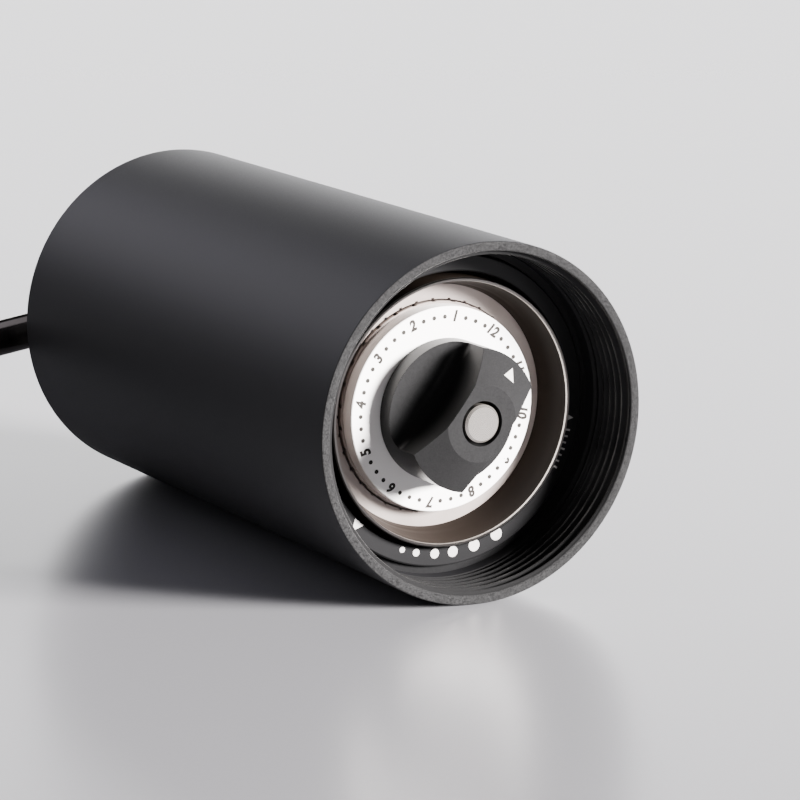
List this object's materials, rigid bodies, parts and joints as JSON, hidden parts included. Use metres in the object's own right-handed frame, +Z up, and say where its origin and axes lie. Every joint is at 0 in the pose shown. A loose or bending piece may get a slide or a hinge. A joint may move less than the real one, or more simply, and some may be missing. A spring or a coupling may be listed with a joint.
{
  "type": "hand crank coffee grinder",
  "caption": "Hand crank coffee grinder lying on its side: black tube with an open threaded mouth, steel conical burrs, numbered dial, bow-tie adjusting knob and a crank with a turning knob.",
  "frame": {"origin": "on the grinder's axis, at the outer end of the cup thread, 1.5 mm inside the mouth's rim", "axes": "+Y along the grinder's axis from the open mouth to the crank, +Z up with the grinder lying on its side, +X to the right seen from the mouth; the crank arm points along -X"},
  "size_m": [0.1585, 0.1565, 0.057],
  "materials": {
    "anodised_black": "matte black anodised",
    "frame_black": "black anodised",
    "ring_black": "satin black anodised, printed marks",
    "spider_alloy": "cast, bead blasted",
    "screw_steel": "plain",
    "bearing_steel": "ground and polished",
    "spring_steel": "oiled",
    "carrier_steel": "turned and polished",
    "burr_steel": "fine ground",
    "dial_silver": "pearl blasted, laser marked",
    "shaft_steel": "turned",
    "knob_black": "satin black anodised",
    "insert_brass": "turned",
    "lid_black": "fine satin",
    "seal_rubber": "plain",
    "bush_plastic": "natural acetal",
    "hub_black": "black anodised",
    "arm_steel": "polished",
    "grip_black": "fine satin",
    "cap_black": "black anodised"
  },
  "bodies": {
    "housing": {"outer_tube": "anodised_black", "inner_frame": "frame_black", "lower_spider": "spider_alloy", "upper_spider": "spider_alloy", "spider_screws": "screw_steel", "lower_bearing_outer_race": "bearing_steel", "lower_bearing_balls": "bearing_steel", "upper_bearing_outer_race": "bearing_steel", "upper_bearing_balls": "bearing_steel", "bearing_clips": "spring_steel", "ring_retainer": "frame_black", "burr_carrier": "carrier_steel", "carrier_screws": "screw_steel", "outer_burr": "burr_steel", "top_collar": "frame_black"},
    "fine_adjuster": {"fine_ring": "ring_black"},
    "shaft": {"drive_shaft": "shaft_steel", "shaft_clips": "spring_steel", "spring_seat": "screw_steel", "lower_bearing_inner_race": "bearing_steel", "upper_bearing_inner_race": "bearing_steel", "burr_spring": "spring_steel"},
    "cone": {"cone_burr": "burr_steel", "dial_plate": "dial_silver", "dial_screws": "screw_steel"},
    "adjuster": {"adjust_knob": "knob_black", "knob_insert": "insert_brass", "detent_balls": "bearing_steel", "detent_springs": "spring_steel"},
    "lid_set": {"lid": "lid_black", "lid_seal": "seal_rubber", "lid_bush": "bush_plastic"},
    "crank": {"crank_hub": "hub_black", "drive_socket": "screw_steel", "hub_clip": "spring_steel", "arm_screw": "screw_steel", "crank_arm": "arm_steel", "knob_axle": "shaft_steel", "knob_washer": "bush_plastic"},
    "grip": {"crank_knob": "grip_black", "knob_bushes": "bush_plastic", "knob_cap": "cap_black"}
  },
  "joints": [
    {"name": "fine_ring_turn", "type": "hinge", "parent": "housing", "child": "fine_adjuster", "pos_m": [0, 0.012, 0], "axis": [0, -1, 0], "range_deg": [0, 60]},
    {"name": "shaft_spin", "type": "hinge", "parent": "housing", "child": "shaft", "pos_m": [0, 0.05, 0], "axis": [0, 1, 0], "continuous": true},
    {"name": "cone_feed", "type": "slide", "parent": "shaft", "child": "cone", "axis": [0, -1, 0], "range_m": [0, 0.0012]},
    {"name": "knob_turn", "type": "hinge", "parent": "cone", "child": "adjuster", "pos_m": [0, 0.005, 0], "axis": [0, -1, 0], "range_deg": [0, 720]},
    {"name": "lid_lift", "type": "slide", "parent": "housing", "child": "lid_set", "axis": [0, 1, 0], "range_m": [0, 0.03]},
    {"name": "crank_spin", "type": "hinge", "parent": "lid_set", "child": "crank", "pos_m": [0, 0.1145, 0], "axis": [0, 1, 0], "continuous": true},
    {"name": "grip_spin", "type": "hinge", "parent": "crank", "child": "grip", "pos_m": [-0.11752, 0.135, -0.016], "axis": [0, 1, 0], "continuous": true}
  ],
  "couplings": [
    {"joint": "shaft_spin", "follows": "crank_spin", "ratio": 1},
    {"joint": "knob_turn", "follows": "cone_feed", "rad_per_m": 10472}
  ]
}
